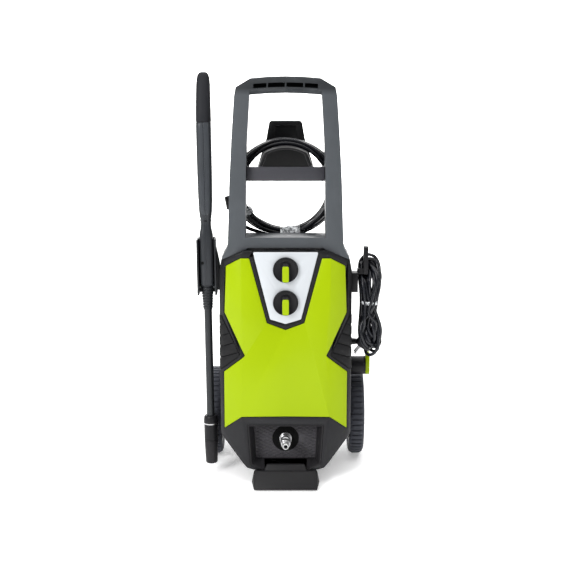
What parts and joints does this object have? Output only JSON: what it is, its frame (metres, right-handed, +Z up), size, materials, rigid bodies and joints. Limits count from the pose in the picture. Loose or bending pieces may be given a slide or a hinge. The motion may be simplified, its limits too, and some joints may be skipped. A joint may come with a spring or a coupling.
{
  "type": "pressure washer",
  "caption": "Upright two-wheeled pressure washer with a leaning housing, tall handle frame, stowed spray gun and lance, hose coil on a rear hook and a hank of mains lead.",
  "frame": {"origin": "on the floor at the middle of the front foot's sole, in the plane that halves the housing", "axes": "+X to the right seen from the front, +Y to the back, +Z up"},
  "size_m": [0.4176, 0.3336, 0.8792],
  "materials": {
    "black_plastic": "satin moulded plastic",
    "dark_plastic": "satin moulded plastic",
    "handle_plastic": "satin moulded plastic",
    "green_plastic": "gloss moulded plastic",
    "white_plastic": "semi-gloss moulded plastic",
    "gun_plastic": "satin moulded plastic",
    "grip_rubber": "soft-touch rubber",
    "pad_rubber": "matt rubber",
    "tyre_rubber": "matt rubber",
    "hose_rubber": "satin thermoplastic rubber",
    "cord_rubber": "satin rubber sheath",
    "wheel_plastic": "moulded plastic",
    "steel": "turned steel",
    "cast_metal": "cast aluminium",
    "tube_metal": "dark coated tube",
    "tank_plastic": "natural polythene"
  },
  "bodies": {
    "housing": {"base_chassis": "dark_plastic", "front_foot": "dark_plastic", "foot_pad": "pad_rubber", "front_frame": "black_plastic", "rear_cover": "black_plastic", "front_cover": "green_plastic", "control_panel": "white_plastic", "left_vent": "black_plastic", "right_vent": "black_plastic", "outlet_recess": "dark_plastic", "outlet_grille": "black_plastic", "outlet_nipple": "steel", "handle_front_shell": "handle_plastic", "handle_rear_shell": "handle_plastic", "hose_hook": "black_plastic", "gun_holder": "black_plastic", "upper_cord_hook": "black_plastic", "wheel_axle": "steel", "motor_housing": "cast_metal", "pump_body": "cast_metal", "pump_pistons": "steel", "outlet_pipe": "steel", "inlet_connector": "black_plastic", "run_capacitor": "white_plastic", "power_switch": "dark_plastic", "detergent_valve": "dark_plastic", "detergent_tank": "tank_plastic", "housing_screws": "steel", "cord_gland": "black_plastic", "power_cord": "cord_rubber", "power_cord_hank": "cord_rubber", "power_plug": "black_plastic", "hose_coil": "hose_rubber", "hose_leads": "hose_rubber", "hose_fittings": "steel"},
    "left_wheel": {"left_wheel_rim": "wheel_plastic", "left_tyre": "tyre_rubber", "left_hub_cap": "dark_plastic"},
    "right_wheel": {"right_wheel_rim": "wheel_plastic", "right_tyre": "tyre_rubber", "right_hub_cap": "dark_plastic"},
    "upper_knob": {"upper_knob": "black_plastic", "upper_knob_pointer": "green_plastic"},
    "lower_knob": {"lower_knob": "black_plastic", "lower_knob_pointer": "green_plastic"},
    "cord_swivel": {"lower_cord_hook": "black_plastic", "lower_cord_hook_cap": "green_plastic"},
    "tank_cap": {"tank_cap": "black_plastic"},
    "rotor": {"motor_rotor": "steel"},
    "gun": {"gun_left_shell": "gun_plastic", "gun_right_shell": "gun_plastic", "gun_grip_sleeve": "grip_rubber", "gun_valve": "steel", "gun_inlet": "steel", "gun_neck_nut": "black_plastic"},
    "trigger": {"gun_trigger": "black_plastic"},
    "trigger_lock": {"gun_safety_lock": "green_plastic"},
    "lance": {"lance_tube": "tube_metal", "nozzle_collar": "black_plastic"},
    "nozzle": {"nozzle_sleeve": "dark_plastic"}
  },
  "joints": [
    {"name": "left_wheel_spin", "type": "hinge", "parent": "housing", "child": "left_wheel", "pos_m": [-0.1605, 0.195, 0.1], "axis": [1, 0, 0], "continuous": true},
    {"name": "right_wheel_spin", "type": "hinge", "parent": "housing", "child": "right_wheel", "pos_m": [0.1605, 0.195, 0.1], "axis": [1, 0, 0], "continuous": true},
    {"name": "power_knob_turn", "type": "hinge", "parent": "housing", "child": "upper_knob", "pos_m": [0, 0.02386, 0.47662], "axis": [0, -0.9976, 0.0698], "range_deg": [-90, 0]},
    {"name": "detergent_knob_turn", "type": "hinge", "parent": "housing", "child": "lower_knob", "pos_m": [0, 0.0189, 0.40579], "axis": [0, -0.9976, 0.0698], "range_deg": [-270, 0]},
    {"name": "cord_hook_swivel", "type": "hinge", "parent": "housing", "child": "cord_swivel", "pos_m": [0.16, 0.14172, 0.22679], "axis": [1, 0, 0], "range_deg": [0, 180]},
    {"name": "tank_cap_turn", "type": "hinge", "parent": "housing", "child": "tank_cap", "pos_m": [-0.085, 0.21546, 0.32088], "axis": [0, 0.9976, -0.0698], "range_deg": [-90, 0]},
    {"name": "motor_spin", "type": "hinge", "parent": "housing", "child": "rotor", "pos_m": [0, 0.118, 0.31767], "axis": [0, 0.0698, 0.9976], "continuous": true},
    {"name": "gun_lift", "type": "slide", "parent": "housing", "child": "gun", "axis": [-0.0122, 0.0698, 0.9975], "range_m": [0, 0.25]},
    {"name": "trigger_pull", "type": "hinge", "parent": "gun", "child": "trigger", "pos_m": [-0.17188, 0.11396, 0.63267], "axis": [0.9999, 0.0009, 0.0122], "range_deg": [0, 8], "stiffness_Nm_per_rad": 0.6, "springref_deg": -14.32},
    {"name": "trigger_lock_turn", "type": "hinge", "parent": "trigger", "child": "trigger_lock", "pos_m": [-0.17256, 0.1458, 0.68658], "axis": [0.9999, 0.0009, 0.0122], "range_deg": [0, 45]},
    {"name": "lance_twist", "type": "hinge", "parent": "gun", "child": "lance", "pos_m": [-0.16817, 0.08378, 0.33006], "axis": [-0.0122, 0.0698, 0.9975], "range_deg": [0, 90]},
    {"name": "nozzle_twist", "type": "hinge", "parent": "lance", "child": "nozzle", "pos_m": [-0.16474, 0.06425, 0.05076], "axis": [-0.0122, 0.0698, 0.9975], "range_deg": [-90, 90]}
  ]
}
